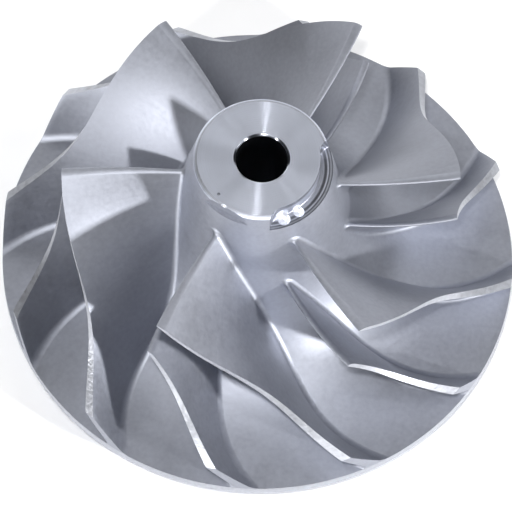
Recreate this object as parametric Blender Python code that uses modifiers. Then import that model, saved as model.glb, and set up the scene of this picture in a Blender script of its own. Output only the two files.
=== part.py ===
"""Centrifugal compressor wheel: a turned hub with six full blades and six splitter blades.

Lengths are in metres and +Z is up. The origin is on the bore's axis, in the plane of the
rear seat that the wheel stands on. Seen from the nose, the wheel turns clockwise, so its
blades sweep back counter-clockwise from the leading edge to the rim.
"""

from math import cos, hypot, pi, radians, sin

import bmesh
import bpy
from mathutils import Vector

NAME = "compressor_wheel"

# The turned hub.
RIM_RADIUS = 0.050
BORE_RADIUS = 0.0050
SEAT_RADIUS = 0.0135
SEAT_DEPTH = 0.0045
NOSE_RADIUS = 0.0130
NOSE_TOP = 0.0474
NOSE_CHAMFER = 0.0005
BORE_CHAMFER = 0.0005
TURNED_STEPS = 72

# The blades. Each curve runs from the leading edge to the trailing edge in four control
# points of radius, height and wrap angle in degrees.
BLADE_PAIRS = 6
FIRST_BLADE_TURN = 1.9
HUB_CURVE = (
    (0.01457, 0.03971, -4.6),
    (0.01954, 0.01038, 55.1),
    (0.02513, 0.00700, 33.0),
    (0.05000, 0.00650, 57.4),
)
TIP_CURVE = (
    (0.03796, 0.04134, 0.0),
    (0.03794, 0.02898, 32.0),
    (0.03578, 0.02024, 35.4),
    (0.05000, 0.01389, 49.9),
)
# How much the straight lines from root to tip lag at the root and lead at the tip.
ROOT_LAG = -0.81
TIP_LEAD = 0.84
SPLITTER_START = 0.27
SPLITTER_TURN = -30.0
ROOT_THICKNESS = 0.0021
TIP_THICKNESS = 0.0013
# The root's flare: heights above the hub, and how far each side stands out there.
FLARE = ((0.0, 0.0014), (0.0006, 0.0006), (0.0020, 0.0))
UPPER_SPANS = (0.35, 0.68, 1.0)
# The leading edge's round: distances behind the edge, and the share of full thickness there.
EDGE_ROUND = ((0.0, 0.45), (0.0003, 0.80), (0.0009, 1.0))
BLADE_STATIONS = 18

# The gap that keeps each blade clear of the hub.
SEAT_GAP = 0.0003

# The balance cuts in the nose, as turns about the axis in degrees.
CUT_INNER_RADIUS = 0.0111
CUT_OUTER_RADIUS = 0.0180
CUT_DEPTH = 0.0034
CUT_END = 0.0026
CUT_FROM = -71.0
CUT_TO = 8.0
FLAT_RADIUS = 0.0125
FLAT_DEPTH = 0.0022
FLAT_TURN = -120.0


def clear_scene():
    for old in list(bpy.data.objects):
        bpy.data.objects.remove(old, do_unlink=True)


def new_collection(name):
    made = bpy.data.collections.new(name)
    bpy.context.scene.collection.children.link(made)
    return made


def new_material(name, colour, roughness):
    made = bpy.data.materials.new(name)
    made.use_nodes = True
    shader = made.node_tree.nodes["Principled BSDF"]
    shader.inputs["Base Color"].default_value = (*colour, 1.0)
    shader.inputs["Metallic"].default_value = 1.0
    shader.inputs["Roughness"].default_value = roughness
    return made


def cubic(points, m):
    """A point on the cubic curve with these four control points."""
    weights = ((1 - m) ** 3, 3 * m * (1 - m) ** 2, 3 * m * m * (1 - m), m ** 3)
    return [sum(w * p[axis] for w, p in zip(weights, points)) for axis in range(3)]


def paced(u, pace):
    """The curve's own measure at u, drawn back or pushed on near the leading edge."""
    return u + pace * u * (1 - u) ** 2


def root_point(m, gap):
    """A point on the hub's curve, moved off the hub by the gap."""
    radius, height, wrap = cubic(HUB_CURVE, m)
    step = 0.001
    before = cubic(HUB_CURVE, max(0.0, m - step))
    after = cubic(HUB_CURVE, min(1.0, m + step))
    along_r, along_z = after[0] - before[0], after[1] - before[1]
    length = hypot(along_r, along_z)
    return radius - gap * along_z / length, height + gap * along_r / length, wrap


def blade_point(u, span, offset=0.0):
    """A point of a blade's middle surface, turned about the axis by the offset in radians."""
    root = root_point(paced(u, ROOT_LAG), SEAT_GAP)
    tip = cubic(TIP_CURVE, paced(u, TIP_LEAD))
    radius, height, wrap = (a + (b - a) * span for a, b in zip(root, tip))
    radius = min(radius, RIM_RADIUS)
    angle = radians(wrap) + offset
    return Vector((radius * cos(angle), radius * sin(angle), height))


def facing(u, span):
    """How squarely the blade's middle surface faces round the axis, from 0 to 1."""
    step = 0.002
    here = blade_point(u, span)
    along = blade_point(min(1.0, u + step), span) - blade_point(max(0.0, u - step), span)
    across = blade_point(u, min(1.0, span + step)) - blade_point(u, max(0.0, span - step))
    around = Vector((-here.y, here.x, 0.0)).normalized()
    return max(0.35, abs(along.cross(across).normalized().dot(around)))


def spans(u):
    """Places from root to tip, close together in the root's flare."""
    height = (blade_point(u, 1.0) - blade_point(u, 0.0)).length
    return [rise / height for rise, _ in FLARE] + list(UPPER_SPANS)


def blade_row(start, row):
    """Places along the blade for one row, close together at the leading edge's round."""
    step = 0.01
    span = spans(start)[row]
    speed = (blade_point(start + step, span) - blade_point(start, span)).length / step
    near = [start + distance / speed for distance, _ in EDGE_ROUND]
    rest = BLADE_STATIONS - len(near) + 1
    return near + [near[-1] + (1.0 - near[-1]) * (i + 1) / rest for i in range(rest)]


def side_point(u, row, share, turn, sign):
    """A point on one side of a blade, at a share of its full thickness."""
    span = spans(u)[row]
    flare = FLARE[row][1] if row < len(FLARE) else 0.0
    thickness = ROOT_THICKNESS + (TIP_THICKNESS - ROOT_THICKNESS) * span
    half = share * (thickness / 2 + flare) / facing(u, span)
    here = blade_point(u, span)
    return blade_point(u, span, radians(turn) + sign * half / hypot(here.x, here.y))


def new_blade(name, start, turn, collection, material):
    """A closed blade whose two sides stand equally far either side of its middle surface.

    A line of points under its root keeps the wide root clear of the round hub.
    """
    bm = bmesh.new()
    rows = len(FLARE) + len(UPPER_SPANS)
    places = [blade_row(start, row) for row in range(rows)]
    shares = [share for _, share in EDGE_ROUND] + [1.0] * (BLADE_STATIONS - len(EDGE_ROUND) + 1)
    sides = []
    for sign in (-1, 1):
        side = []
        for i, share in enumerate(shares):
            points = [side_point(places[row][i], row, share, turn, sign) for row in range(rows)]
            side.append([bm.verts.new(point) for point in points])
        sides.append(side)
    low, high = sides
    keel = [bm.verts.new(side_point(u, 0, 0.0, turn, 1)) for u in places[0]]
    top = rows - 1
    last = len(shares) - 1
    for i in range(last):
        for j in range(top):
            for side in sides:
                bm.faces.new((side[i][j], side[i + 1][j], side[i + 1][j + 1], side[i][j + 1]))
        for side in sides:
            bm.faces.new((side[i][0], side[i + 1][0], keel[i + 1], keel[i]))
        bm.faces.new((low[i][top], low[i + 1][top], high[i + 1][top], high[i][top]))
    for i in (0, last):
        bm.faces.new((keel[i], low[i][0], low[i][1], high[i][1], high[i][0]))
        for j in range(1, top):
            bm.faces.new((low[i][j], low[i][j + 1], high[i][j + 1], high[i][j]))
    bmesh.ops.recalc_face_normals(bm, faces=bm.faces[:])
    return finish(bm, name, collection, material)


def finish(bm, name, collection, material=None):
    mesh = bpy.data.meshes.new(name)
    bm.to_mesh(mesh)
    bm.free()
    if material:
        mesh.materials.append(material)
    made = bpy.data.objects.new(name, mesh)
    collection.objects.link(made)
    return made


def hub_profile():
    """The hub's outline in radius and height, down its outer side and back up the bore."""
    rim_bottom = SEAT_DEPTH
    outline = [
        (BORE_RADIUS + BORE_CHAMFER, NOSE_TOP),
        (NOSE_RADIUS - NOSE_CHAMFER, NOSE_TOP),
        (NOSE_RADIUS, NOSE_TOP - NOSE_CHAMFER),
    ]
    steps = 22
    outline += [tuple(cubic(HUB_CURVE, i / steps)[:2]) for i in range(steps + 1)]
    outline += [
        (RIM_RADIUS, rim_bottom),
        (0.0440, rim_bottom),
        (0.0300, rim_bottom - 0.0007),
        (0.0190, rim_bottom - 0.0021),
        (SEAT_RADIUS + 0.0008, 0.0014),
        (SEAT_RADIUS, 0.0003),
        (SEAT_RADIUS - 0.0003, 0.0),
        (BORE_RADIUS + BORE_CHAMFER, 0.0),
        (BORE_RADIUS, BORE_CHAMFER),
        (BORE_RADIUS, NOSE_TOP - BORE_CHAMFER),
    ]
    return outline


def new_hub(collection, material):
    """The hub, turned about the bore's axis."""
    bm = bmesh.new()
    corners = [bm.verts.new((radius, 0.0, height)) for radius, height in hub_profile()]
    for a, b in zip(corners, corners[1:] + corners[:1]):
        bm.edges.new((a, b))
    hub = finish(bm, "hub", collection, material)
    screw = hub.modifiers.new("turn", "SCREW")
    screw.axis = "Z"
    screw.angle = 2 * pi
    screw.steps = TURNED_STEPS
    screw.render_steps = TURNED_STEPS
    screw.use_merge_vertices = True
    screw.merge_threshold = 0.00001
    screw.use_normal_calculate = True
    return hub


def new_cutter(name, outline, low, high, collection):
    """A flat outline raised from one height to another."""
    bm = bmesh.new()
    bottom = [bm.verts.new((x, y, low)) for x, y in outline]
    top = [bm.verts.new((x, y, high)) for x, y in outline]
    bm.faces.new(bottom[::-1])
    bm.faces.new(top)
    for i in range(len(outline)):
        k = (i + 1) % len(outline)
        bm.faces.new((bottom[i], bottom[k], top[k], top[i]))
    bmesh.ops.recalc_face_normals(bm, faces=bm.faces[:])
    cutter = finish(bm, name, collection)
    cutter.hide_render = True
    cutter.display_type = "WIRE"
    return cutter


def balance_cut(collection):
    """A milled ledge that follows the nose, with the cutter's round at each end."""
    steps = 20
    outline = []
    for i in range(steps + 1):
        turn = radians(CUT_FROM + (CUT_TO - CUT_FROM) * i / steps)
        outline.append((CUT_INNER_RADIUS * cos(turn), CUT_INNER_RADIUS * sin(turn)))
    round_steps = 4
    for i in range(1, round_steps + 1):
        bend = i / round_steps * pi / 2
        radius = CUT_INNER_RADIUS + CUT_END * (1 - cos(bend))
        turn = radians(CUT_TO) + CUT_END * sin(bend) / CUT_INNER_RADIUS
        outline.append((radius * cos(turn), radius * sin(turn)))
    turn = radians(CUT_TO) + CUT_END / CUT_INNER_RADIUS
    outline.append((CUT_OUTER_RADIUS * cos(turn), CUT_OUTER_RADIUS * sin(turn)))
    middle = radians((CUT_FROM + CUT_TO) / 2)
    outline.append((1.6 * CUT_OUTER_RADIUS * cos(middle), 1.6 * CUT_OUTER_RADIUS * sin(middle)))
    turn = radians(CUT_FROM) - CUT_END / CUT_INNER_RADIUS
    outline.append((CUT_OUTER_RADIUS * cos(turn), CUT_OUTER_RADIUS * sin(turn)))
    for i in range(round_steps, 0, -1):
        bend = i / round_steps * pi / 2
        radius = CUT_INNER_RADIUS + CUT_END * (1 - cos(bend))
        turn = radians(CUT_FROM) - CUT_END * sin(bend) / CUT_INNER_RADIUS
        outline.append((radius * cos(turn), radius * sin(turn)))
    return new_cutter("balance_cut", outline, NOSE_TOP - CUT_DEPTH, NOSE_TOP + 0.002, collection)


def balance_flat(collection):
    """A short flat milled off the nose's edge."""
    half_width, reach = 0.006, 0.006
    turn = radians(FLAT_TURN)
    outward = Vector((cos(turn), sin(turn)))
    aside = Vector((-sin(turn), cos(turn)))
    corners = [
        FLAT_RADIUS * outward - half_width * aside,
        (FLAT_RADIUS + reach) * outward - half_width * aside,
        (FLAT_RADIUS + reach) * outward + half_width * aside,
        FLAT_RADIUS * outward + half_width * aside,
    ]
    outline = [tuple(corner) for corner in corners]
    return new_cutter("balance_flat", outline, NOSE_TOP - FLAT_DEPTH, NOSE_TOP + 0.002, collection)


def cut(solid, cutter):
    tool = solid.modifiers.new(cutter.name, "BOOLEAN")
    tool.operation = "DIFFERENCE"
    tool.solver = "EXACT"
    tool.object = cutter


def main():
    clear_scene()
    parts = new_collection(NAME)
    cutters = new_collection("cutters")
    turned = new_material("turned_aluminium", (0.78, 0.79, 0.81), 0.28)
    milled = new_material("milled_aluminium", (0.72, 0.73, 0.76), 0.36)
    hub = new_hub(parts, turned)
    cut(hub, balance_cut(cutters))
    cut(hub, balance_flat(cutters))
    for i in range(BLADE_PAIRS):
        turn = FIRST_BLADE_TURN + i * 360.0 / BLADE_PAIRS
        new_blade(f"main_blade_{i + 1}", 0.0, turn, parts, milled)
        new_blade(f"splitter_blade_{i + 1}", SPLITTER_START, turn + SPLITTER_TURN, parts, milled)


main()
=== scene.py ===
# %% [markdown]
# # A turbocharger's compressor wheel
#
# The wheel sucks air in at its nose and throws it outwards at its rim. The real one is a single
# piece of aluminium: a trumpet-shaped hub on a thin back disc, six full blades that start near
# the nose, and six splitter blades that start lower down between them. The air side is milled
# or cast to a satin finish, and the nose, the blade tips and the rim are then turned on a lathe.
#
# The packed solids give the size and the place of everything. This lesson dresses them: a hub
# with turned marks and balance cuts, and blades with rounded edges and flared roots.

# %% Start with the packed solids
from math import cos, hypot, pi, radians, sin, sqrt

import bmesh
import bpy
from mathutils import Matrix, Vector


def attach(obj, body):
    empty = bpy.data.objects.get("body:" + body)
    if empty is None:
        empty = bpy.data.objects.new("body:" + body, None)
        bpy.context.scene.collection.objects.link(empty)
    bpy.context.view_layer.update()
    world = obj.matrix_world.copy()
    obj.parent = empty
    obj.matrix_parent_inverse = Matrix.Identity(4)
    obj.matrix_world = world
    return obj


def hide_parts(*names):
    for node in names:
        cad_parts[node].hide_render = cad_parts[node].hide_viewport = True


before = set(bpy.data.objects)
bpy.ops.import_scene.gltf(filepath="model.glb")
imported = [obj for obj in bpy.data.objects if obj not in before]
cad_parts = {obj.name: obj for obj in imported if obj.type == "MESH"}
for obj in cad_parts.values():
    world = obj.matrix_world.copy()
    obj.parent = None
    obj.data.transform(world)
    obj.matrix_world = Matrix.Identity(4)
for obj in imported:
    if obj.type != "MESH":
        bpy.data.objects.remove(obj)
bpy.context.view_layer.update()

print("solids:", sorted(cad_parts))

# %% [markdown]
# ## Sizes
#
# A wheel like this is designed on a side view that is turned about the axis: one curve for the
# hub and one for the blade tips. Each curve here is a cubic with four control points, and every
# point has a radius, a height and a wrap angle, so one curve says how high and how far round the
# blade is. The curves could be drawn as Bezier objects, but plain numbers are easier to check
# against a drawing, and the same points serve the hub and the blades.

# %% Sizes in metres and degrees
MM = 0.001
RIM_RADIUS = 50.0 * MM
BORE_RADIUS = 5.0 * MM
NOSE_RADIUS = 13.0 * MM
NOSE_TOP = 47.4 * MM
NOSE_EDGE = 0.45 * MM
SEAT_DEPTH = 4.5 * MM
SEAT_RADIUS = 13.5 * MM
BLADE_PAIRS = 6
FIRST_BLADE_TURN = 1.9
SPLITTER_TURN = -30.0
SPLITTER_START = 0.27
# Radius, height and wrap of each control point, from the leading edge to the rim.
HUB_CURVE = (
    (14.57 * MM, 39.71 * MM, radians(-4.6)),
    (19.54 * MM, 10.38 * MM, radians(55.1)),
    (25.13 * MM, 7.00 * MM, radians(33.0)),
    (50.00 * MM, 6.50 * MM, radians(57.4)),
)
TIP_CURVE = (
    (37.96 * MM, 41.34 * MM, radians(0.0)),
    (37.94 * MM, 28.98 * MM, radians(32.0)),
    (35.78 * MM, 20.24 * MM, radians(35.4)),
    (50.00 * MM, 13.89 * MM, radians(49.9)),
)
# How much the roots fall behind, and the tips run ahead, near the leading edge.
ROOT_LAG = -0.81
TIP_LEAD = 0.84
print("rim", RIM_RADIUS, "nose", NOSE_TOP)

# %% [markdown]
# ## Formulas that work on numbers and on nodes
#
# A blade's shape is a formula, so Geometry Nodes can make it: each point of a flat grid is
# moved to its place on the blade. Writing that with single Math nodes is long, so a small class
# stands for a number inside the tree. Adding or multiplying two of them adds the Math node. The
# same curve formula then serves the tree and ordinary numbers alike.

# %% A number inside a node tree
class Value:
    """A number in a node tree. Arithmetic on it adds the Math nodes."""

    def __init__(self, tree, socket):
        self.tree = tree
        self.socket = socket

    def math(self, operation, *others):
        node = self.tree.nodes.new("ShaderNodeMath")
        node.operation = operation
        for slot, item in zip(node.inputs, (self, *others)):
            if isinstance(item, Value):
                self.tree.links.new(item.socket, slot)
            else:
                slot.default_value = item
        return Value(self.tree, node.outputs[0])

    def __add__(self, other):
        return self.math("ADD", other)

    def __mul__(self, other):
        return self.math("MULTIPLY", other)

    def __sub__(self, other):
        return self.math("SUBTRACT", other)

    def __rsub__(self, other):
        return self * -1.0 + other

    def __truediv__(self, other):
        return self.math("DIVIDE", other)

    __radd__ = __add__
    __rmul__ = __mul__

    def between(self, low, high):
        """0 below low, 1 above high, and a straight run between them."""
        return ((self - low) / (high - low)).math("MAXIMUM", 0.0).math("MINIMUM", 1.0)


print("arithmetic:", [name for name in vars(Value) if not name.startswith("__")])


# %% Curves
def cubic(points, m):
    """Radius, height and wrap on a cubic curve."""
    n = 1.0 - m
    weights = (n * n * n, 3.0 * (n * n * m), 3.0 * (n * m * m), m * m * m)
    sums = []
    for axis in range(3):
        total = weights[0] * points[0][axis]
        for weight, point in zip(weights[1:], points[1:]):
            total = total + weight * point[axis]
        sums.append(total)
    return sums


def cubic_slope(points, m):
    """How fast radius, height and wrap change along a cubic curve."""
    n = 1.0 - m
    weights = (3.0 * (n * n), 6.0 * (n * m), 3.0 * (m * m))
    sums = []
    for axis in range(3):
        steps = [b[axis] - a[axis] for a, b in zip(points, points[1:])]
        total = weights[0] * steps[0]
        total = total + weights[1] * steps[1]
        sums.append(total + weights[2] * steps[2])
    return sums


def paced(u, pace):
    """A curve's own measure at u, drawn back or pushed on near the leading edge."""
    n = 1.0 - u
    return u + pace * (u * (n * n))


def ahead_of_start(points, m, lead_in):
    """A point on the curve, or on a straight line that leads into it where m is below zero."""
    inside = m.math("MAXIMUM", 0.0)
    before = m.math("MINIMUM", 0.0)
    return [on + before * step for on, step in zip(cubic(points, inside), lead_in)]


def speed_at(points, m):
    """Metres of curve for each unit of m."""
    radius = cubic(points, m)[0]
    along_r, along_z, turn = cubic_slope(points, m)
    return sqrt(along_r ** 2 + along_z ** 2 + (radius * turn) ** 2)


SPLITTER_ROOT = cubic(HUB_CURVE, paced(SPLITTER_START, ROOT_LAG))
print("the splitters start at:", [round(v, 4) for v in SPLITTER_ROOT])

# %% [markdown]
# ## The metal
#
# The whole wheel is one alloy, but it shows different finishes. The blades and passages are
# satin, with a fine grain and faint level lines from the cutter's passes. What the lathe
# touched last, which is the nose, the rim and the blade tips, carries fine rings round the axis,
# and the tips and the rim are marked by handling as well.
#
# The nose has a burnished groove every 0.45 millimetres. A groove spreads a lamp's light towards
# the axis and away from it, but hardly sideways, so the grooves together draw a thin bright line
# across the dull face. That is what anisotropy does, with its direction laid round the axis and
# turned a quarter. The whole face could be anisotropic, but away from that line it would then be
# nearly black, so only the grooves are. The nose's outer edge has a thin bright line, the bore
# is reamed, the dimples are freshly cut, and the ledge beside them is streaked where its cutter
# went round.
#
# Image textures would need a flat layout for every piece. Noise from the Object coordinates
# needs none and is in metres: a noise with a scale of 1100 has grains of about nine tenths of a
# millimetre. Each finish is a function that gives a tone, a roughness, a relief and its depth.

# %% Pattern helpers
HEIGHT_SHARE = 0.37


def add(tree, kind, **settings):
    """A new node with its settings, and its inputs by name."""
    node = tree.nodes.new(kind)
    for name, item in settings.items():
        if name in node.inputs:
            slot = node.inputs[name]
            if isinstance(item, bpy.types.NodeSocket):
                tree.links.new(item, slot)
            else:
                slot.default_value = item
        else:
            setattr(node, name, item)
    return node


def noise(tree, place, scale, detail=2.0, stretch=None):
    """A noise pattern, most of it between 0.3 and 0.7."""
    if stretch:
        place = add(tree, "ShaderNodeMapping", Vector=place, Scale=stretch).outputs[0]
    made = add(tree, "ShaderNodeTexNoise", Vector=place, Scale=scale, Detail=detail)
    return Value(tree, made.outputs[0])


def rings(tree, place, scale):
    """A noise that changes with the distance from the axis and with the height only."""
    flat = add(tree, "ShaderNodeMapping", Vector=place, Scale=(1.0, 1.0, 0.0)).outputs[0]
    away = add(tree, "ShaderNodeVectorMath", operation="LENGTH", Vector=flat).outputs["Value"]
    level = add(tree, "ShaderNodeSeparateXYZ", Vector=place).outputs["Z"]
    across = Value(tree, away) + HEIGHT_SHARE * Value(tree, level)
    made = add(tree, "ShaderNodeTexNoise", noise_dimensions="1D", W=across.socket, Scale=scale)
    return Value(tree, made.outputs[0])


print("rings lean by", HEIGHT_SHARE, "of the height")


# %% Finishes
def satin(tree, place):
    """Fine grain, slow clouds, and the level lines of the cutter's passes."""
    grain = noise(tree, place, 1100.0, 4.0)
    clouds = noise(tree, place, 110.0)
    passes = noise(tree, place, 1.0, 2.0, (90.0, 90.0, 2400.0))
    tone = 0.72 + 0.30 * grain + 0.18 * clouds + 0.08 * passes
    roughness = 0.42 + 0.14 * grain + 0.04 * passes + 0.08 * clouds
    return tone, roughness, grain + 0.1 * passes, 0.000014


def lathe_turned(tree, place):
    """A dull face with faint rings and stains."""
    fine, coarse = rings(tree, place, 5200.0), rings(tree, place, 900.0)
    stains = noise(tree, place, 260.0, 3.0)
    tone = 0.93 + 0.06 * fine + 0.04 * coarse + 0.14 * stains
    roughness = 0.44 + 0.04 * fine + 0.06 * stains
    return tone, roughness, fine + coarse, 0.000003


def burnished(tree, place):
    """The smooth grooves in a turned face."""
    stains = noise(tree, place, 900.0, 3.0)
    return 0.90 + 0.20 * stains, 0.27 + 0.06 * stains, stains, 0.000001


def turned_tips(tree, place):
    """The lathe's rings on the blade tips and the rim, dulled and marked by handling."""
    fine, coarse = rings(tree, place, 3600.0), rings(tree, place, 700.0)
    dents = noise(tree, place, 1300.0, 3.0)
    tone = 0.66 + 0.14 * fine + 0.12 * coarse + 0.38 * dents
    roughness = 0.35 + 0.06 * fine + 0.18 * dents
    return tone, roughness, fine + 2.0 * dents, 0.00005


def smooth_cut(tree, place):
    """The bright surface that a sharp milling cutter leaves."""
    swirls = noise(tree, place, 2200.0, 3.0)
    stains = noise(tree, place, 500.0)
    tone = 0.90 + 0.12 * swirls + 0.08 * stains
    roughness = 0.38 + 0.14 * swirls + 0.06 * stains
    return tone, roughness, swirls + stains, 0.00001


def streaked(tree, place):
    """Dark and clean streaks along the path of a cutter that went round the axis."""
    fine = rings(tree, place, 1700.0)
    stains = noise(tree, place, 700.0, 3.0)
    clean = fine.between(0.40, 0.60)
    tone = 0.42 + 0.62 * clean + 0.24 * stains
    return tone, 0.32 + 0.12 * clean + 0.06 * stains, fine, 0.000008


def bored(tree, place):
    """The reamed bore."""
    fine = rings(tree, place, 5200.0)
    stains = noise(tree, place, 400.0)
    return 0.78 + 0.2 * fine, 0.16 + 0.05 * fine + 0.04 * stains, fine, 0.000002


FINISHES = (satin, lathe_turned, burnished, turned_tips, smooth_cut, streaked, bored)
print("finishes:", [finish.__name__ for finish in FINISHES])

# %% Metals
ALLOY = (0.365, 0.380, 0.430)
BRIGHT_ALLOY = (0.585, 0.615, 0.70)
WORN_ALLOY = (0.49, 0.505, 0.55)
FRESH_ALLOY = (0.78, 0.80, 0.86)
LEDGE_ALLOY = (0.50, 0.52, 0.59)
QUARTER_TURN = 0.25


def new_metal(name, colour, pattern, anisotropy=0.0):
    """A metal whose tone, roughness and fine relief come from a pattern of its own."""
    made = bpy.data.materials.new(name)
    made.use_nodes = True
    tree = made.node_tree
    shader = tree.nodes["Principled BSDF"]
    shader.inputs["Metallic"].default_value = 1.0
    place = add(tree, "ShaderNodeTexCoord").outputs["Object"]
    tone, roughness, relief, depth = pattern(tree, place)
    shade = add(tree, "ShaderNodeVectorMath", operation="SCALE", Scale=tone.socket)
    shade.inputs[0].default_value = colour
    bump = add(tree, "ShaderNodeBump", Height=relief.socket, Distance=depth)
    tree.links.new(shade.outputs[0], shader.inputs["Base Color"])
    tree.links.new(roughness.socket, shader.inputs["Roughness"])
    tree.links.new(bump.outputs[0], shader.inputs["Normal"])
    if anisotropy:
        shader.inputs["Anisotropic"].default_value = anisotropy
        shader.inputs["Anisotropic Rotation"].default_value = QUARTER_TURN
        round_axis = add(tree, "ShaderNodeTangent", direction_type="RADIAL", axis="Z")
        tree.links.new(round_axis.outputs[0], shader.inputs["Tangent"])
    return made


MILLED = new_metal("satin_finish", ALLOY, satin)
TURNED = new_metal("lathe_finish", BRIGHT_ALLOY, lathe_turned)
TIPS = new_metal("tip_finish", WORN_ALLOY, turned_tips)
CUT = new_metal("cut_finish", FRESH_ALLOY, smooth_cut)
EDGED = new_metal("edge_finish", BRIGHT_ALLOY, smooth_cut)
BORED = new_metal("bore_finish", ALLOY, bored)
STREAKED = new_metal("ledge_finish", LEDGE_ALLOY, streaked)
BURNISHED = new_metal("groove_finish", BRIGHT_ALLOY, burnished, 1.0)
METALS = (MILLED, TURNED, TIPS, CUT, EDGED, BORED, STREAKED, BURNISHED)
print("metals:", [metal.name for metal in METALS])

# %% [markdown]
# ## Making and finishing a mesh
#
# A few steps are the same for every piece. A Geometry Nodes tree runs once on an empty mesh and
# the result is kept as a plain mesh, because the pieces have to be plain for the export. Every
# face is turned to the outside, and edges that bend sharply stay sharp under smooth shading.

# %% Geometry Nodes helpers
def new_tree(name, inputs):
    """An empty Geometry Nodes tree with named inputs and a geometry output."""
    tree = bpy.data.node_groups.new(name, "GeometryNodeTree")
    sockets = tree.interface
    sockets.new_socket("Geometry", in_out="OUTPUT", socket_type="NodeSocketGeometry")
    sockets.new_socket("Geometry", in_out="INPUT", socket_type="NodeSocketGeometry")
    for label, (kind, value) in inputs.items():
        made = sockets.new_socket(label, in_out="INPUT", socket_type=kind)
        if value is not None:
            made.default_value = value
    source = tree.nodes.new("NodeGroupInput")
    target = tree.nodes.new("NodeGroupOutput")
    return tree, source, target


def bake(name, tree, settings):
    """Runs a tree once on an empty mesh and keeps the result as a plain mesh."""
    host = bpy.data.objects.new(name, bpy.data.meshes.new(name))
    bpy.context.scene.collection.objects.link(host)
    modifier = host.modifiers.new(name, "NODES")
    modifier.node_group = tree
    for item in tree.interface.items_tree:
        if item.item_type == "SOCKET" and item.in_out == "INPUT" and item.name in settings:
            modifier[item.identifier] = settings[item.name]
    seen = host.evaluated_get(bpy.context.evaluated_depsgraph_get())
    mesh = bpy.data.meshes.new_from_object(seen)
    mesh.name = name
    if mesh.materials and mesh.materials[0] is None:
        mesh.materials.pop(index=0)
    host.modifiers.remove(modifier)
    host.data = mesh
    return host


print("helpers:", new_tree.__name__, bake.__name__)

# %% Mesh helpers
SMOOTH_BEND = 32.0


def apply_modifiers(made):
    """Keeps the shape that the modifiers give as a plain mesh."""
    seen = made.evaluated_get(bpy.context.evaluated_depsgraph_get())
    mesh = bpy.data.meshes.new_from_object(seen)
    made.modifiers.clear()
    made.data = mesh
    return made


def face_outwards(made):
    """Turns every face to the outside and counts the open edges, which should be none."""
    bm = bmesh.new()
    bm.from_mesh(made.data)
    bmesh.ops.recalc_face_normals(bm, faces=bm.faces[:])
    open_edges = sum(1 for edge in bm.edges if not edge.is_manifold)
    bm.to_mesh(made.data)
    bm.free()
    print(made.name, "open edges:", open_edges)
    return made


def finish_round(made, angle=SMOOTH_BEND):
    """Smooth shading with sharp edges where the faces bend more than the angle."""
    made.data.shade_smooth()
    made.data.set_sharp_from_angle(angle=radians(angle))
    print(made.name, len(made.data.polygons), "faces", len(made.data.vertices), "points")
    return made


print("edges stay sharp from", SMOOTH_BEND, "degrees")

# %% [markdown]
# ## The blades
#
# The blades push the air outwards. One could be lofted by hand from a few sections, but a formula
# keeps all the blades of a kind exactly alike and lets the fillet, the edges and the tip be
# sized by name. The formula bends a grid with two directions. One runs along the blade: round
# the nose of the leading edge, down the blade, and in across the flat trailing edge. The other
# runs up one side from the root, over the tip and down the other side. Near the root the two
# sides stand further and further apart along a quarter circle, which is the fillet that the
# milling cutter leaves. The root runs a little into the hub, so that no gap shows.
#
# The thickness is laid off round the axis and not square to the surface, so it is divided by
# how squarely the surface faces that way. Then the root keeps its place on the turned hub.
# Points where the two sides meet are merged, which closes the blade.

# %% The two directions of the grid
NOSE_PART = 0.12
EDGE_PART = 0.94
LAND_PART = 0.07
FACE_PART = 0.52
FILLET_PART = 0.95
ROOT_SINK = 0.004 * MM
SINK_GROWTH = 20.0


def across_the_blade(row, fillet):
    """From the middle of the tip land out to a side, down the face, round and under the root."""
    side = row.math("SIGN")
    out = row.math("ABSOLUTE") * 2.0
    land = out.between(0.0, LAND_PART)
    down = out.between(LAND_PART, FACE_PART)
    bend = out.between(FACE_PART, FILLET_PART) * (pi / 2)
    under = out.between(FILLET_PART, 1.0)
    flare = fillet * (1.0 - bend.math("COSINE"))
    rise = fillet * (1.0 - bend.math("SINE")) - ROOT_SINK * (1.0 + SINK_GROWTH * under)
    return side, land, down, under, flare, rise


def along_the_blade(column, start, nose, flare):
    """Round the nose, down the blade, and in across the trailing edge."""
    round_part = column.between(0.0, NOSE_PART) * (pi / 2)
    body = column.between(NOSE_PART, EDGE_PART)
    closing = column.between(EDGE_PART, 1.0)
    ahead = (nose + flare) * (1.0 - round_part.math("COSINE")) - flare
    ahead = ahead * (1.0 - body)
    u = start + (1.0 - start) * body
    return round_part, body, closing, ahead, u


print("the nose takes", NOSE_PART, "of the grid, the tip land", LAND_PART)

# %% How squarely the surface faces
LEAST_FACING = 0.35


def facing_round(root_m, tip_m, u, across, span, radius):
    """How squarely the surface faces round the axis, from its slopes along and across."""
    n = 1.0 - u
    root_pace = 1.0 + ROOT_LAG * (n * (n - 2.0 * u))
    tip_pace = 1.0 + TIP_LEAD * (n * (n - 2.0 * u))
    root_slope = [item * root_pace for item in cubic_slope(HUB_CURVE, root_m)]
    tip_slope = [item * tip_pace for item in cubic_slope(TIP_CURVE, tip_m)]
    along = [a + (b - a) * span for a, b in zip(root_slope, tip_slope)]
    face_round = along[0] * across[1] - along[1] * across[0]
    face_up = (along[2] * across[0] - along[0] * across[2]) * radius
    face_out = (along[1] * across[2] - along[2] * across[1]) * radius
    size = (face_round * face_round + face_up * face_up + face_out * face_out).math("SQRT")
    return (face_round.math("ABSOLUTE") / size).math("MAXIMUM", LEAST_FACING)


print("a surface counts as facing round the axis by at least", LEAST_FACING)

# %% [markdown]
# ### The line that leads into the hub's curve
#
# The round leading edge of a full blade reaches a little above the start of the hub's curve,
# where the nose has a straight tapered side. Its root has to follow that side, so the curve is
# carried on upwards by a straight line of the same taper.

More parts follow.
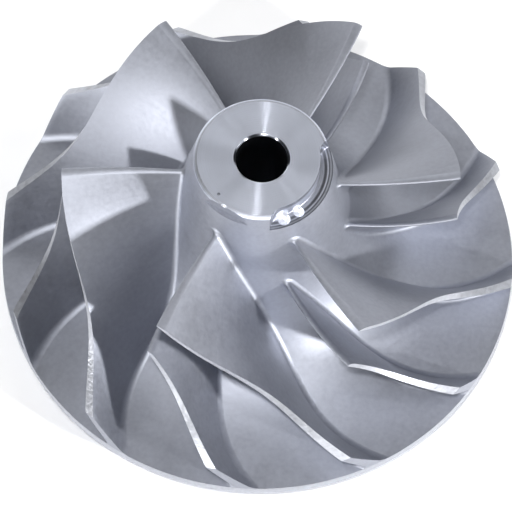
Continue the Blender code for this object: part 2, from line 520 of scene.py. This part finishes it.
# %% The side of the nose
NOSE_SLANT = (HUB_CURVE[0][0] - NOSE_RADIUS, HUB_CURVE[0][1] - (NOSE_TOP - NOSE_EDGE))
START_SLOPE = cubic_slope(HUB_CURVE, 0.0)
REACH = hypot(START_SLOPE[0], START_SLOPE[1]) / hypot(*NOSE_SLANT)
NOSE_SIDE = (NOSE_SLANT[0] * REACH, NOSE_SLANT[1] * REACH, START_SLOPE[2])
print("lead-in:", [round(v, 4) for v in NOSE_SIDE])

# %% [markdown]
# ### The blade's tree
#
# The tree first works out each point's place with the formulas above, then copies the blade
# round the axis. The tip's flat land is remembered in an attribute, so that it can get the
# turned metal after the copies are made real.

# %% Where each point goes
THINNING = 0.35
CLOSING_FOLD = 0.03
BLADE_INPUTS = {
    "Start": ("NodeSocketFloat", 0.0),
    "Root speed": ("NodeSocketFloat", 0.1),
    "Tip speed": ("NodeSocketFloat", 0.1),
    "Root thickness": ("NodeSocketFloat", 0.002),
    "Tip thickness": ("NodeSocketFloat", 0.0013),
    "Edge thickness": ("NodeSocketFloat", 0.0008),
    "Nose length": ("NodeSocketFloat", 0.0006),
    "Fillet": ("NodeSocketFloat", 0.0018),
    "Turn": ("NodeSocketFloat", 0.0),
    "Columns": ("NodeSocketInt", 90),
    "Rows": ("NodeSocketInt", 61),
    "Copies": ("NodeSocketInt", BLADE_PAIRS),
    "Material": ("NodeSocketMaterial", None),
    "Land material": ("NodeSocketMaterial", None),
}


def blade_point(given, column, row):
    """Radius, angle and height of a grid point on the blade, and where the tip land is."""
    side, land, down, under, flare, rise = across_the_blade(row, given("Fillet"))
    start = given("Start")
    round_part, body, closing, ahead, u = along_the_blade(
        column, start, given("Nose length"), flare)
    share = side * land * (1.0 - under) * round_part.math("SINE") * (1.0 - closing)

    root_m = paced(u, ROOT_LAG) + ahead / given("Root speed")
    tip_m = paced(u, TIP_LEAD) + ahead / given("Tip speed")
    root = ahead_of_start(HUB_CURVE, root_m, NOSE_SIDE)
    tip = cubic(TIP_CURVE, tip_m)
    across = [b - a for a, b in zip(root, tip)]
    height = (across[0] * across[0] + across[1] * across[1]).math("SQRT")
    foot = rise / height
    fold = CLOSING_FOLD * closing * (1.0 - land)
    span = foot + (1.0 - foot) * (1.0 - down - fold)
    radius, level, wrap = (a + b * span for a, b in zip(root, across))
    facing = facing_round(root_m, tip_m, u, across, span, radius)

    root_thick, tip_thick = given("Root thickness"), given("Tip thickness")
    edge_thick = given("Edge thickness")
    thin = 1.0 - body.between(0.0, THINNING)
    root_now = root_thick - (root_thick - edge_thick) * (thin * thin)
    tip_now = edge_thick + (tip_thick - edge_thick) * (body * body)
    thickness = root_now + (tip_now - root_now) * span
    half = share * (thickness * 0.5 + flare) / facing
    angle = wrap + half / radius + given("Turn")
    return radius, angle, level, 1.0 - land.math("FLOOR")


print("blade inputs:", list(BLADE_INPUTS))

# %% The tree
MEETING = 1e-7


def blade_tree():
    """A tree that bends a grid into a blade and repeats it round the axis."""
    tree, source, target = new_tree("blade", BLADE_INPUTS)

    def given(label):
        return Value(tree, source.outputs[label])

    grid = add(tree, "GeometryNodeMeshGrid")
    tree.links.new(source.outputs["Columns"], grid.inputs["Vertices X"])
    tree.links.new(source.outputs["Rows"], grid.inputs["Vertices Y"])
    place = add(tree, "GeometryNodeInputPosition")
    split = add(tree, "ShaderNodeSeparateXYZ", Vector=place.outputs[0])
    column = Value(tree, split.outputs["X"]) + 0.5
    row = Value(tree, split.outputs["Y"])
    radius, angle, level, on_land = blade_point(given, column, row)
    joined = add(tree, "ShaderNodeCombineXYZ")
    tree.links.new((radius * angle.math("COSINE")).socket, joined.inputs["X"])
    tree.links.new((radius * angle.math("SINE")).socket, joined.inputs["Y"])
    tree.links.new(level.socket, joined.inputs["Z"])

    marked = add(tree, "GeometryNodeStoreNamedAttribute", Geometry=grid.outputs["Mesh"],
                 data_type="FLOAT", domain="FACE", Name="tip_land", Value=on_land.socket)
    bent = add(tree, "GeometryNodeSetPosition", Geometry=marked.outputs[0],
               Position=joined.outputs[0])
    closed = add(tree, "GeometryNodeMergeByDistance", Geometry=bent.outputs[0],
                 Distance=MEETING)
    dots = add(tree, "GeometryNodePoints")
    tree.links.new(source.outputs["Copies"], dots.inputs["Count"])
    index = Value(tree, add(tree, "GeometryNodeInputIndex").outputs[0])
    turn = add(tree, "ShaderNodeCombineXYZ", X=0.0, Y=0.0)
    tree.links.new((index * (2 * pi) / given("Copies")).socket, turn.inputs["Z"])
    euler = add(tree, "FunctionNodeEulerToRotation", Euler=turn.outputs[0])
    ring = add(tree, "GeometryNodeInstanceOnPoints", Points=dots.outputs[0],
               Instance=closed.outputs[0], Rotation=euler.outputs[0])
    real = add(tree, "GeometryNodeRealizeInstances", Geometry=ring.outputs[0])
    dressed = add(tree, "GeometryNodeSetMaterial", Geometry=real.outputs[0])
    tree.links.new(source.outputs["Material"], dressed.inputs["Material"])
    mark = add(tree, "GeometryNodeInputNamedAttribute", data_type="FLOAT", Name="tip_land")
    topped = add(tree, "GeometryNodeSetMaterial", Geometry=dressed.outputs[0],
                 Selection=mark.outputs[0])
    tree.links.new(source.outputs["Land material"], topped.inputs["Material"])
    tree.links.new(topped.outputs[0], target.inputs["Geometry"])
    return tree


BLADE_TREE = blade_tree()
print("blade tree:", len(BLADE_TREE.nodes), "nodes")

# %% [markdown]
# ### Full and splitter blades
#
# Twelve full blades would choke the narrow inlet, so every second one is a splitter, which
# starts a little over a quarter of the way along. It could be a full blade cut short with a
# Boolean, but then its leading edge would be flat. The same tree makes both kinds instead: only
# the start and the turn differ.

# %% Both kinds of blade
def blades(name, start, turn):
    """One kind of blade, all its copies in one piece."""
    settings = {
        "Start": start,
        "Root speed": speed_at(HUB_CURVE, paced(start, ROOT_LAG)),
        "Tip speed": speed_at(TIP_CURVE, paced(start, TIP_LEAD)),
        "Root thickness": 2.1 * MM,
        "Tip thickness": 1.5 * MM,
        "Edge thickness": 0.95 * MM,
        "Nose length": 0.5 * MM,
        "Fillet": 1.0 * MM,
        "Turn": radians(turn),
        "Columns": 90,
        "Rows": 61,
        "Copies": BLADE_PAIRS,
        "Material": MILLED,
        "Land material": TIPS,
    }
    return finish_round(face_outwards(bake(name, BLADE_TREE, settings)))


full_blades = blades("full_blades", 0.0, FIRST_BLADE_TURN)
splitter_blades = blades("splitter_blades", SPLITTER_START, FIRST_BLADE_TURN + SPLITTER_TURN)

# %% [markdown]
# ## The hub
#
# The real hub is turned on a lathe, and so is this one: a profile, and a Screw modifier that
# takes it once round the axis. Stacked cylinders could come near it, but a profile keeps every
# edge exactly round. It runs from the bore's rounded edge out across the nose's face with its
# grooves, down the flared side, round the thin disc, in along the back to the seat, and up the
# bore.

# %% Sizes of the hub's profile
BORE_EDGE = 0.4 * MM
BORE_EDGE_STEPS = 9
BORE_STRAIGHT = 0.05 * MM
FACE_MARGIN = 0.04 * MM
FACE_BAND = 0.7 * MM
BAND_DROP = 0.015 * MM
EDGE_LINE = 0.38 * MM
EDGE_DROP = 0.12 * MM
# Where the nose's edge bends, as shares of the band and of the edge's height.
EDGE_BENDS = ((0.3, 0.45), (0.1, 0.6))
GROOVE_WIDTH = 0.06 * MM
GROOVE_DEPTH = 0.007 * MM
GROOVE_PITCH = 0.45 * MM
GROOVE_COUNT = 15
FIRST_GROOVE = BORE_RADIUS + BORE_EDGE + 0.3 * MM
GROOVES = [FIRST_GROOVE + GROOVE_PITCH * i for i in range(GROOVE_COUNT)]
CURVE_STEPS = 70
BACK_CHAMFER = 0.1 * MM
BACK_POINTS = [
    (RIM_RADIUS, SEAT_DEPTH + BACK_CHAMFER),
    (RIM_RADIUS - BACK_CHAMFER, SEAT_DEPTH),
    (44.0 * MM, SEAT_DEPTH),
    (30.0 * MM, SEAT_DEPTH - 0.7 * MM),
    (19.0 * MM, SEAT_DEPTH - 2.1 * MM),
    (SEAT_RADIUS + 0.8 * MM, 1.4 * MM),
    (SEAT_RADIUS, 0.3 * MM),
    (SEAT_RADIUS - 0.3 * MM, 0.0),
    (BORE_RADIUS + BORE_EDGE, 0.0),
    (BORE_RADIUS, BORE_EDGE),
]
print("grooves:", GROOVE_COUNT, "from", round(GROOVES[0], 5), "to", round(GROOVES[-1], 5))


# %% The hub's profile
def nose_profile():
    """From the bore's rounded edge out over the face and its grooves to the nose's edge."""
    bends = [pi / 2 * i / BORE_EDGE_STEPS for i in range(BORE_EDGE_STEPS + 1)]
    points = [(BORE_RADIUS + BORE_EDGE * (1 - cos(b)), NOSE_TOP - BORE_EDGE * (1 - sin(b)))
              for b in bends]
    points.append((BORE_RADIUS + BORE_EDGE + FACE_MARGIN, NOSE_TOP))
    for radius in GROOVES:
        bottom = (radius + GROOVE_WIDTH / 2, NOSE_TOP - GROOVE_DEPTH)
        points += [(radius, NOSE_TOP), bottom, (radius + GROOVE_WIDTH, NOSE_TOP)]
    points.append((NOSE_RADIUS - FACE_BAND - FACE_MARGIN, NOSE_TOP))
    points.append((NOSE_RADIUS - FACE_BAND, NOSE_TOP - BAND_DROP))
    points.append((NOSE_RADIUS - EDGE_LINE, NOSE_TOP - EDGE_DROP))
    points += [(NOSE_RADIUS - a * FACE_BAND, NOSE_TOP - b * NOSE_EDGE) for a, b in EDGE_BENDS]
    points.append((NOSE_RADIUS, NOSE_TOP - NOSE_EDGE))
    return points


def hub_profile():
    """Radius and height out over the nose, down the side, round the back and up the bore."""
    points = nose_profile()
    points += [tuple(cubic(HUB_CURVE, i / CURVE_STEPS)[:2]) for i in range(CURVE_STEPS + 1)]
    points += BACK_POINTS
    points.append((BORE_RADIUS, NOSE_TOP - BORE_EDGE - BORE_STRAIGHT))
    return points


print("hub profile:", len(hub_profile()), "points")

# %% Turning it
TURN_STEPS = 360


def turned(name, points, steps):
    """A closed profile turned about the axis."""
    bm = bmesh.new()
    corners = [bm.verts.new((radius, 0.0, level)) for radius, level in points]
    for a, b in zip(corners, corners[1:] + corners[:1]):
        bm.edges.new((a, b))
    mesh = bpy.data.meshes.new(name)
    bm.to_mesh(mesh)
    bm.free()
    made = bpy.data.objects.new(name, mesh)
    bpy.context.scene.collection.objects.link(made)
    screw = made.modifiers.new("turn", "SCREW")
    screw.angle = 2 * pi
    screw.steps = steps
    screw.render_steps = steps
    screw.use_merge_vertices = True
    screw.merge_threshold = 0.001 * MM
    return face_outwards(apply_modifiers(made))


hub = turned("wheel_hub", hub_profile(), TURN_STEPS)

# %% [markdown]
# ### The hub's metals
#
# The lathe leaves the nose, the back and the rim turned, and the milling cutter leaves the sides
# satin. Every border lies at a known radius or height, so each face gets its metal from where
# its middle is. The faces could be painted by hand instead, but then a change of size would
# mean painting them again.

# %% Which metal where
BORE_WALL = BORE_RADIUS + 0.001 * MM
RIM_SIDE = RIM_RADIUS - 0.01 * MM


def in_groove(radius):
    """Whether a radius lies in one of the grooves."""
    return any(start < radius < start + GROOVE_WIDTH for start in GROOVES)


def finish_of(place):
    """Which metal the hub shows at a place on it."""
    radius, level = hypot(place.x, place.y), place.z
    if radius < BORE_WALL:
        return BORED
    on_face = level > NOSE_TOP - GROOVE_DEPTH
    if radius < BORE_RADIUS + BORE_EDGE or on_face and in_groove(radius):
        return BURNISHED
    if radius > NOSE_RADIUS - EDGE_LINE and level > NOSE_TOP - NOSE_EDGE:
        return EDGED
    if on_face or level < SEAT_DEPTH + BACK_CHAMFER:
        return TURNED
    if radius > RIM_SIDE:
        return TIPS
    return MILLED


HUB_METALS = (MILLED, TURNED, TIPS, EDGED, BORED, BURNISHED)
for metal in HUB_METALS:
    hub.data.materials.append(metal)
for face in hub.data.polygons:
    face.material_index = HUB_METALS.index(finish_of(face.center))
print("hub metals:", [metal.name for metal in HUB_METALS])

# %% [markdown]
# ### The balance cuts
#
# A new wheel is spun, and metal is milled off its nose until it runs true. The cutter has a
# round corner, so the ledge it leaves has a curved foot to its wall. At one end it was let down
# twice more, which left two dimples, and a short flat was taken off the edge further round.
# There is a nick in that edge too, and a small pit in the face.
#
# None of these goes all the way round, so the profile can't hold them. Each is a tool body that a
# Boolean modifier takes away from the hub, as the real cutter did. The tool's own metal stays on
# the surface that it leaves. The pit's darker satin metal is partly its own finish and partly
# painted shade for the inside of that small hole.

# %% Sizes of the cuts
CUT_INNER_RADIUS = 11.1 * MM
CUT_OUTER_RADIUS = 17.0 * MM
CUT_DEPTH = 3.4 * MM
CUT_CORNER = 0.25 * MM
CUT_FROM, CUT_TO = -68.0, 8.0
CUT_END = 2.6 * MM
CUT_STEPS, CUT_END_STEPS, CUT_CORNER_STEPS = 60, 12, 8
# Each dimple's distance from the axis, its angle and the radius of its ball.
DIMPLES = ((12.0 * MM, -67.0, 1.5 * MM), (11.95 * MM, -51.5, 1.2 * MM))
DIMPLE_DEPTH = 0.6 * MM
FLAT_RADIUS, FLAT_TURN = 12.5 * MM, -120.0
# The block that cuts the flat: outwards, along the flat and up.
FLAT_BLOCK = (6.0 * MM, 12.0 * MM, 4.4 * MM)
NICK_RADIUS, NICK_TURN, NICK_SIZE = 13.0 * MM, -122.5, 0.9 * MM
NICK_LIFT = 0.2 * MM
PIT_RADIUS, PIT_TURN, PIT_SIZE = 11.2 * MM, -134.3, 0.35 * MM
PIT_SINK = 0.15 * MM
BALL_DETAIL = 4
CLEAR_ABOVE = 2.0 * MM
print("ledge from", CUT_FROM, "to", CUT_TO, "degrees, dimples:", len(DIMPLES))


# %% Tool bodies
def polar(radius, turn, level):
    """A point from its radius, its angle in radians and its height."""
    return Vector((radius * cos(turn), radius * sin(turn), level))


def closed_body(name, bm, metal):
    """Turns a bmesh into an object whose faces look outwards."""
    bmesh.ops.remove_doubles(bm, verts=bm.verts[:], dist=MEETING)
    bmesh.ops.recalc_face_normals(bm, faces=bm.faces[:])
    mesh = bpy.data.meshes.new(name)
    bm.to_mesh(mesh)
    bm.free()
    mesh.materials.append(metal)
    made = bpy.data.objects.new(name, mesh)
    bpy.context.scene.collection.objects.link(made)
    print(name, len(mesh.polygons), "faces")
    return made


def ball(name, radius, turn, level, size, metal=CUT):
    """A round cutter's end, as an icosphere."""
    bm = bmesh.new()
    place = Matrix.Translation(polar(radius, radians(turn), level))
    bmesh.ops.create_icosphere(bm, subdivisions=BALL_DETAIL, radius=size, matrix=place)
    return closed_body(name, bm, metal)


def flat_cutter():
    """A block whose inner side leaves the short flat."""
    turn = radians(FLAT_TURN)
    outward, aside = Vector((cos(turn), sin(turn), 0.0)), Vector((-sin(turn), cos(turn), 0.0))
    middle = (FLAT_RADIUS + FLAT_BLOCK[0] / 2) * outward + Vector((0.0, 0.0, NOSE_TOP))
    bm = bmesh.new()
    axes = Matrix((outward, aside, Vector((0.0, 0.0, 1.0)))).transposed().to_4x4()
    size = Matrix.Diagonal((*FLAT_BLOCK, 1.0))
    bmesh.ops.create_cube(bm, size=1.0, matrix=Matrix.Translation(middle) @ axes @ size)
    return closed_body("flat_cutter", bm, MILLED)


# %% The ledge's tool
def ledge_path():
    """How far out and how far round the ledge's wall stands, from one end to the other."""
    start, stop = radians(CUT_FROM), radians(CUT_TO)
    bends = [pi / 2 * i / CUT_END_STEPS for i in range(1, CUT_END_STEPS + 1)]
    swings = [(CUT_END * (1 - cos(bend)), CUT_END * sin(bend) / CUT_INNER_RADIUS)
              for bend in bends]
    path = [(out, start - turn) for out, turn in reversed(swings)]
    path += [(0.0, radians(CUT_FROM + (CUT_TO - CUT_FROM) * i / CUT_STEPS))
             for i in range(CUT_STEPS + 1)]
    path += [(out, stop + turn) for out, turn in swings]
    return path


def ledge_cutter():
    """A ring sector whose inner wall has a rounded foot, and which swings out at its ends."""
    floor_level, top = NOSE_TOP - CUT_DEPTH, NOSE_TOP + CLEAR_ABOVE
    bends = [pi / 2 * i / CUT_CORNER_STEPS for i in range(CUT_CORNER_STEPS, -1, -1)]
    corner = [(CUT_CORNER * (1 - sin(b)), CUT_CORNER * (1 - cos(b))) for b in bends]
    bm = bmesh.new()
    sections = []
    for out, turn in ledge_path():
        inner = CUT_INNER_RADIUS + out
        outline = [(inner, top)] + [(inner + a, floor_level + b) for a, b in corner]
        outline += [(CUT_OUTER_RADIUS, floor_level), (CUT_OUTER_RADIUS, top)]
        sections.append([bm.verts.new(polar(radius, turn, level)) for radius, level in outline])
    for a, b in zip(sections, sections[1:]):
        for i in range(len(a)):
            j = (i + 1) % len(a)
            bm.faces.new((a[i], a[j], b[j], b[i]))
    bm.faces.new(sections[0])
    bm.faces.new(sections[-1])
    return closed_body("ledge_cutter", bm, STREAKED)


print("ledge path:", len(ledge_path()), "stations")


# %% Cutting
def take_away(made, cutters):
    """Cuts each tool out of a piece in turn, then deletes the tools."""
    for tool in cutters:
        cut = made.modifiers.new(tool.name, "BOOLEAN")
        cut.operation = "DIFFERENCE"
        cut.solver = "EXACT"
        cut.material_mode = "TRANSFER"
        cut.object = tool
    apply_modifiers(made)
    for tool in cutters:
        bpy.data.objects.remove(tool)


HUB_BEND = 12.0
tools = [ledge_cutter(), flat_cutter()]
for i, (radius, turn, size) in enumerate(DIMPLES):
    level = NOSE_TOP - CUT_DEPTH - DIMPLE_DEPTH + size
    tools.append(ball(f"dimple_{i}", radius, turn, level, size))
tools.append(ball("nick", NICK_RADIUS, NICK_TURN, NOSE_TOP + NICK_LIFT, NICK_SIZE))
# The pit gets the darker satin metal, which also paints part of the shade in the small hole.
tools.append(ball("pit", PIT_RADIUS, PIT_TURN, NOSE_TOP - PIT_SINK, PIT_SIZE, MILLED))
take_away(hub, tools)
finish_round(face_outwards(hub), HUB_BEND)

# %% [markdown]
# ## Joining the pieces to the frame
#
# The real wheel is one rigid body, so every piece rides on the one body of the frame. Each hides
# the solids that it stands for.

# %% Ride and replace
MAIN_NODES = [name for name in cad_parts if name.startswith("main_blade")]
SPLITTER_NODES = [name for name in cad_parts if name.startswith("splitter_blade")]
for piece, nodes, slot in (
    (hub, ["hub"], "turned_aluminium"),
    (full_blades, MAIN_NODES, "milled_aluminium"),
    (splitter_blades, SPLITTER_NODES, "milled_aluminium"),
):
    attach(piece, "root")
    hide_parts(*nodes)
    print(piece.name, "stands for", len(nodes), "solids")

# %% [markdown]
# ## Floor, camera and lights
#
# The floor is plain and pale, so that nothing draws the eye from the wheel. The camera stands a
# metre away, which is far for so small a thing, and a long lens brings the wheel up to fill the
# frame. That keeps the near and the far blades almost the same size, as in a product picture.

# %% Floor
FLOOR_REACH = 3.0
PAPER = (0.94, 0.94, 0.945, 1.0)
floor_mesh = bpy.data.meshes.new("floor")
signs = ((-1, -1), (1, -1), (1, 1), (-1, 1))
corners = [(x * FLOOR_REACH, y * FLOOR_REACH, 0.0) for x, y in signs]
floor_mesh.from_pydata(corners, [], [(0, 1, 2, 3)])
floor = bpy.data.objects.new("floor", floor_mesh)
bpy.context.scene.collection.objects.link(floor)
paper = bpy.data.materials.new("pale_floor")
paper.use_nodes = True
paper_shader = paper.node_tree.nodes["Principled BSDF"]
paper_shader.inputs["Base Color"].default_value = PAPER
paper_shader.inputs["Roughness"].default_value = 0.9
floor_mesh.materials.append(paper)
print("floor:", 2 * FLOOR_REACH, "metres across")

# %% Camera
# Angles in degrees. The focal length is in pixels of a picture 512 pixels wide.
ELEVATION = 62.41
ROLL = 2.45
DISTANCE = 1.0
FOCAL_PIXELS = 5177.0
IMAGE_PIXELS = 512.0
AIM = Vector((0.0, 0.0, 24.5 * MM))
# How far to the right of that point, and above it, the camera looks.
OFF_MIDDLE = (-0.656 * MM, -8.04 * MM)
SENSOR = 36.0
camera_data = bpy.data.cameras.new("camera")
camera = bpy.data.objects.new("camera", camera_data)
bpy.context.scene.collection.objects.link(camera)
tilt = radians(ELEVATION)
back = Vector((0.0, -cos(tilt), sin(tilt)))
right = Vector((1.0, 0.0, 0.0))
up = back.cross(right)
roll = radians(ROLL)
turned_right = cos(roll) * right + sin(roll) * up
turned_up = cos(roll) * up - sin(roll) * right
stand = AIM + DISTANCE * back
looks_at = AIM + OFF_MIDDLE[0] * turned_right + OFF_MIDDLE[1] * turned_up
away = (stand - looks_at).normalized()
level_right = turned_up.cross(away).normalized()
frame_axes = Matrix((level_right, away.cross(level_right), away)).transposed()
camera.matrix_world = Matrix.Translation(stand) @ frame_axes.to_4x4()
camera_data.sensor_width = SENSOR
camera_data.lens = FOCAL_PIXELS / IMAGE_PIXELS * SENSOR
camera_data.clip_start = 0.05
camera_data.clip_end = 20.0
bpy.context.scene.camera = camera
print("lens:", round(camera_data.lens, 1), "mm")

# %% [markdown]
# ### Lights
#
# Metal shows what it reflects, so most of the look is in where the lamps stand. Three small ones
# give the crisp shadows of one blade on the next and the points on the bore's edge. The large
# ones above, behind and beside the wheel fill the passages that the small ones leave dark. One
# large lamp alone would be simpler, but it would blur every shadow. The room itself is nearly
# dark, so that the metal keeps its contrast.

# %% Lamps
TARGET = Vector((0.0, 0.0, 25.0 * MM))
# Direction round the axis and height in degrees, size in metres, power in watts.
LAMPS = {
    "left_lamp": (224, 13, 0.05, 5.8),
    "right_lamp": (326, 15, 0.05, 11.6),
    "top_lamp": (264, 66, 0.05, 5.7),
    "high_lamp": (228, 76, 0.30, 1.2),
    "back_lamp": (92, 31, 0.50, 2.0),
    "back_left_lamp": (125, 25, 0.30, 1.7),
    "back_right_lamp": (55, 25, 0.30, 1.3),
    "side_lamp": (0, 45, 0.40, 2.1),
}


def softbox(name, place, aim, size, power):
    """A square lamp that shines from its place towards the aim."""
    lamp = bpy.data.lights.new(name, "AREA")
    lamp.shape = "SQUARE"
    lamp.size = size
    lamp.energy = power
    made = bpy.data.objects.new(name, lamp)
    bpy.context.scene.collection.objects.link(made)
    facing = (place - aim).normalized().to_track_quat("Z", "Y")
    made.matrix_world = Matrix.Translation(place) @ facing.to_matrix().to_4x4()
    return made


for name, (turn, lift, size, power) in LAMPS.items():
    turn, lift = radians(turn), radians(lift)
    way = Vector((cos(lift) * cos(turn), cos(lift) * sin(turn), sin(lift)))
    softbox(name, TARGET + way, TARGET, size, power)
print("lamps:", len(LAMPS))

# %% The room
ROOM_COLOUR = (0.86, 0.88, 0.94, 1.0)
ROOM_STRENGTH = 0.01
world = bpy.data.worlds.new("studio")
world.use_nodes = True
background = world.node_tree.nodes["Background"]
background.inputs["Color"].default_value = ROOM_COLOUR
background.inputs["Strength"].default_value = ROOM_STRENGTH
bpy.context.scene.world = world
bpy.context.scene.view_settings.view_transform = "Standard"
print("room strength:", ROOM_STRENGTH)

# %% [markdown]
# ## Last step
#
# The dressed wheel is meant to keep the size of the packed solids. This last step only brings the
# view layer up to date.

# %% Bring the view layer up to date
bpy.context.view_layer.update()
